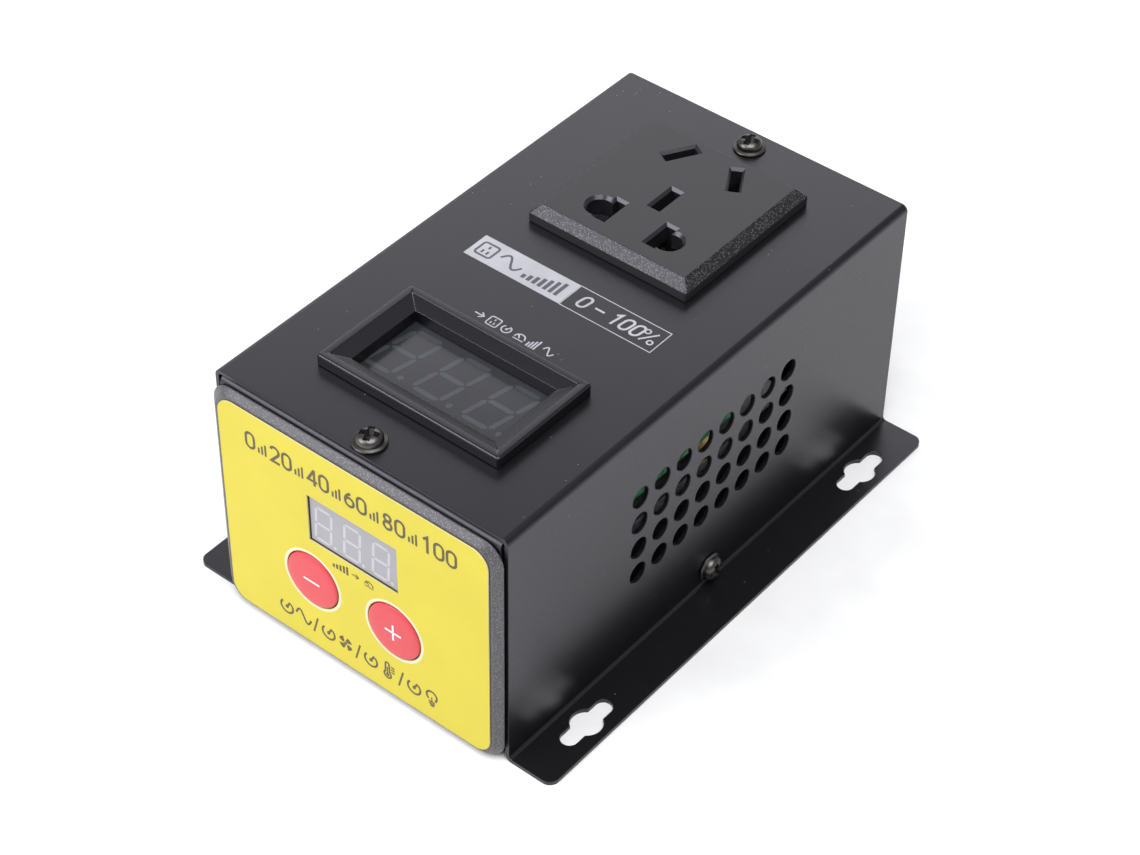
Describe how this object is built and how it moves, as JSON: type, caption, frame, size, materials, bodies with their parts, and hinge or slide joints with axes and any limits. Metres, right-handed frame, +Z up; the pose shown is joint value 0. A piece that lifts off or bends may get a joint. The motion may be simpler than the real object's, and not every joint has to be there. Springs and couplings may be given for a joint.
{
  "type": "electronic voltage regulator",
  "caption": "Boxed electronic mains voltage regulator with front display and push buttons, panel voltmeter, multi-standard outlet, side vents and keyhole mounting flanges",
  "frame": {"origin": "middle of the object on the plane of the mounting flanges' undersides", "axes": "+X across the case to the right as seen from the front, -Y out of the front panel, +Z up out of the voltmeter and outlet"},
  "size_m": [0.098, 0.1368, 0.0665],
  "materials": {
    "black_powder_coat": "satin black powder coat with fine specks",
    "black_grained_plastic": "fine grained moulded plastic",
    "black_plastic": "smooth satin moulded plastic",
    "yellow_label": "glossy printed film",
    "grey_display": "grey seven-segment face",
    "red_button": "smooth satin plastic",
    "green_board": "solder-masked circuit board",
    "smoked_window": "smoked clear plastic",
    "dark_nickel": "black nickel plated",
    "steel": "plated steel",
    "brass": "bare brass",
    "aluminium": "plain extruded",
    "yellow_film": "moulded capacitor box",
    "capacitor_sleeve": "shrunk sleeve",
    "ferrite": "sintered ferrite",
    "copper_wire": "enamelled copper winding",
    "ceramic_white": "ceramic fuse tube",
    "green_terminal": "moulded terminal body",
    "black_rubber": "soft black rubber",
    "tape_yellow": "taped winding"
  },
  "bodies": {
    "case": {"cover": "black_powder_coat", "base_tray": "black_powder_coat", "inlet_grommet": "black_rubber", "front_panel": "black_grained_plastic", "front_label": "yellow_label", "front_display": "grey_display", "tact_switch_minus": "black_plastic", "tact_switch_plus": "black_plastic", "control_board": "green_board", "control_board_screw_left": "steel", "control_board_screw_right": "steel", "voltmeter_housing": "black_plastic", "voltmeter_window": "smoked_window", "voltmeter_display": "grey_display", "voltmeter_board": "green_board", "socket_plate": "black_grained_plastic", "socket_body": "black_plastic", "contact_left": "brass", "contact_right": "brass", "contact_earth": "brass", "heatsink": "aluminium", "heatsink_screw_front": "steel", "heatsink_screw_rear": "steel", "triac": "black_plastic", "triac_screw": "steel", "power_board": "green_board", "standoff_a": "brass", "standoff_b": "brass", "standoff_c": "brass", "standoff_d": "brass", "board_screw_a": "steel", "board_screw_b": "steel", "board_screw_c": "steel", "board_screw_d": "steel", "film_capacitor": "yellow_film", "electrolytic_capacitor": "capacitor_sleeve", "transformer_core": "ferrite", "transformer_winding": "tape_yellow", "choke_core": "ferrite", "choke_winding": "copper_wire", "fuse_tube": "ceramic_white", "fuse_clip_left": "brass", "fuse_clip_right": "brass", "terminal_block": "green_terminal", "terminal_screw_left": "steel", "terminal_screw_middle": "steel", "terminal_screw_right": "steel", "fan_frame": "black_plastic", "fan_screw_left_low": "dark_nickel", "fan_screw_left_high": "dark_nickel", "fan_screw_right_low": "dark_nickel", "fan_screw_right_high": "dark_nickel", "cover_screw_front": "dark_nickel", "cover_screw_rear": "dark_nickel", "cover_screw_left": "dark_nickel", "cover_screw_right": "dark_nickel"},
    "button_minus": {"button_minus": "red_button"},
    "button_plus": {"button_plus": "red_button"},
    "fan_rotor": {"fan_rotor": "black_plastic"}
  },
  "joints": [
    {"name": "button_minus_press", "type": "slide", "parent": "case", "child": "button_minus", "axis": [0, 1, 0], "range_m": [0, 0.0006], "stiffness_N_per_m": 1500, "springref_m": -0.0004},
    {"name": "button_plus_press", "type": "slide", "parent": "case", "child": "button_plus", "axis": [0, 1, 0], "range_m": [0, 0.0006], "stiffness_N_per_m": 1500, "springref_m": -0.0004},
    {"name": "fan_spin", "type": "hinge", "parent": "case", "child": "fan_rotor", "pos_m": [0, 0.06048, 0.0282], "axis": [0, 1, 0], "continuous": true}
  ]
}
